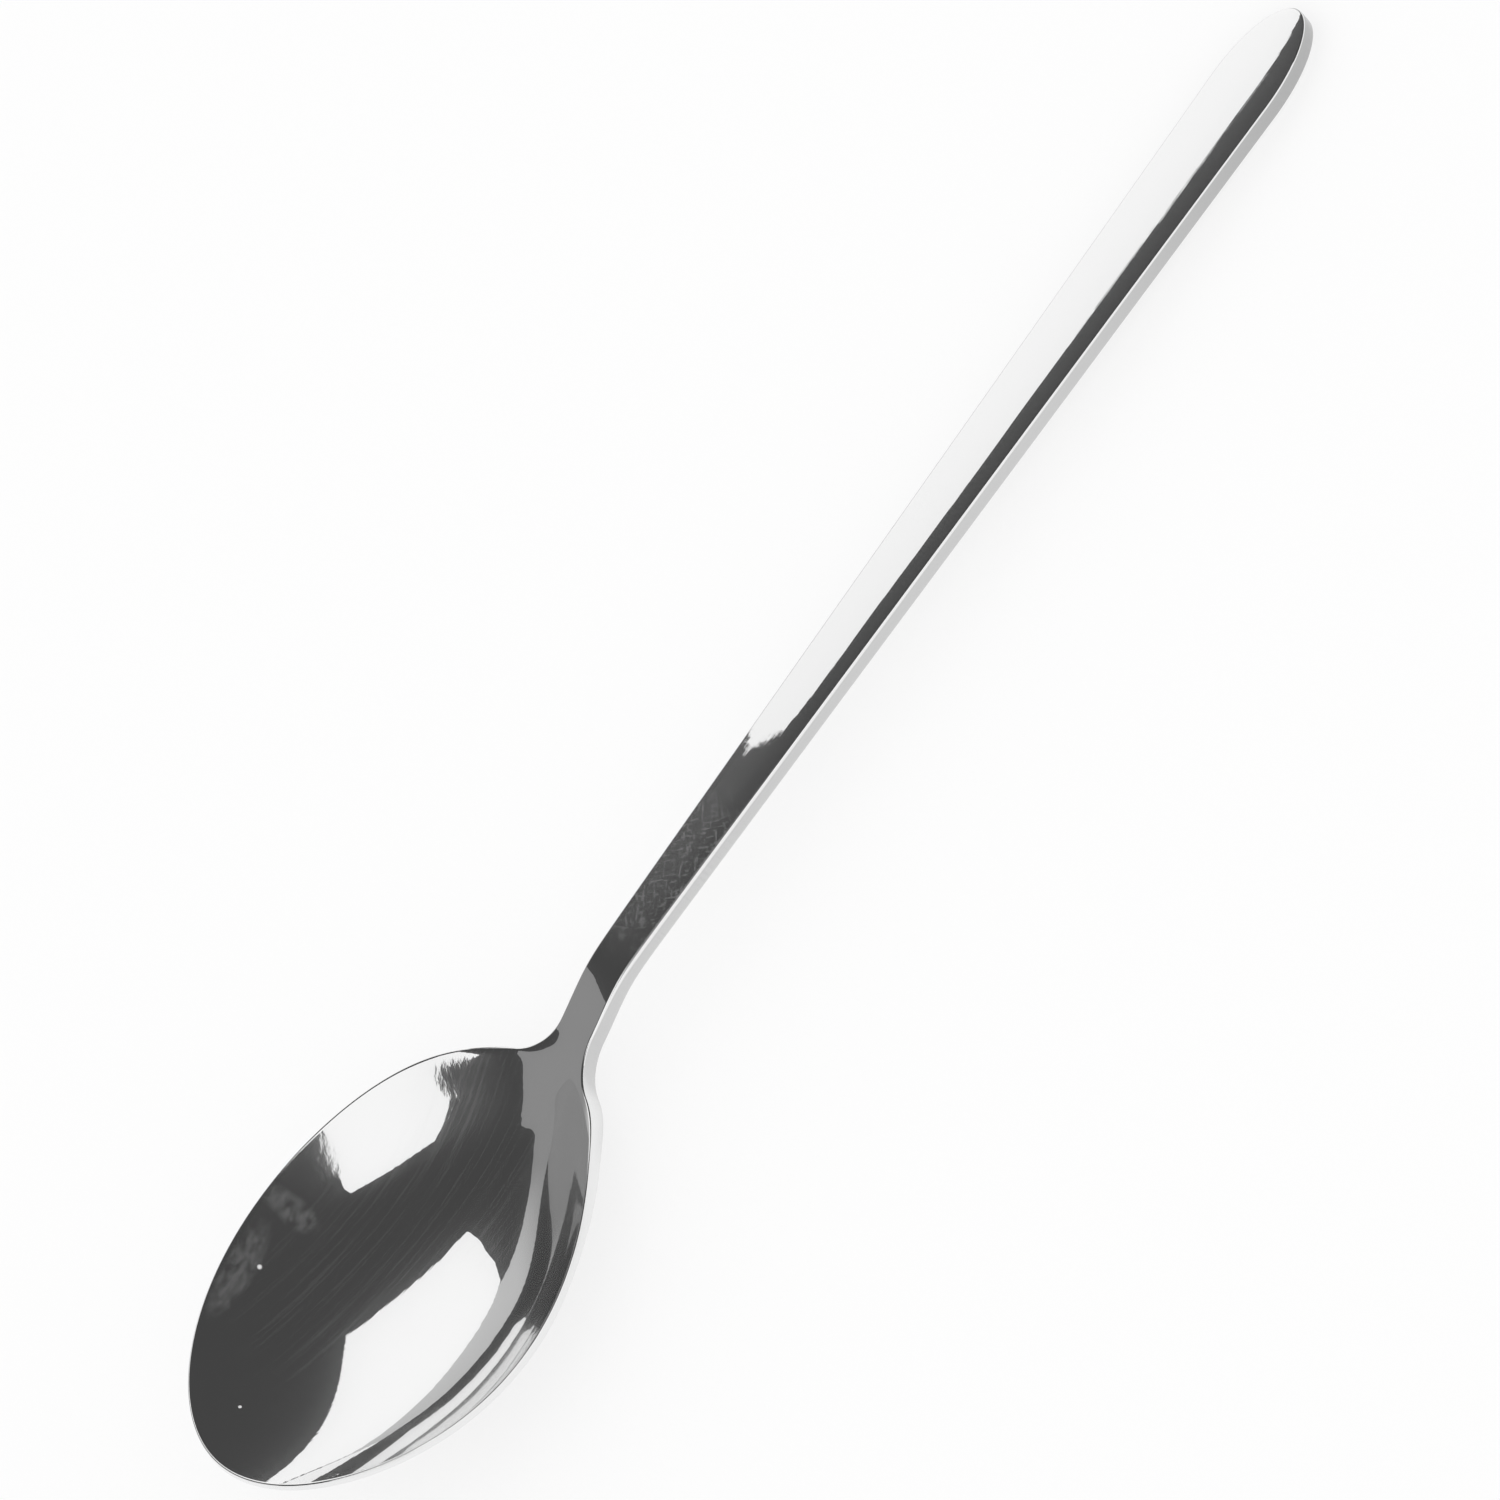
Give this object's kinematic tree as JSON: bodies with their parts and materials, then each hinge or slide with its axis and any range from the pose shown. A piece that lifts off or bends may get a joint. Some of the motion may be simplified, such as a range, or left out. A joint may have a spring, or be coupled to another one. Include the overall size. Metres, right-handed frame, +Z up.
{
  "type": "teaspoon",
  "caption": "Teaspoon in one piece of polished stainless steel, with an egg-shaped bowl, a stepped neck and a straight flat handle that widens to a rounded end.",
  "frame": {"origin": "on the table, below the middle of the spoon's length, on its plane of symmetry", "axes": "+X along the spoon towards the handle's end, +Y across it, +Z up from the table the spoon lies on, bowl open upwards"},
  "size_m": [0.14, 0.029, 0.012],
  "materials": {
    "polished_steel": "mirror polished, with fine polishing lines along the spoon"
  },
  "bodies": {
    "root": {"spoon": "polished_steel"}
  },
  "joints": []
}
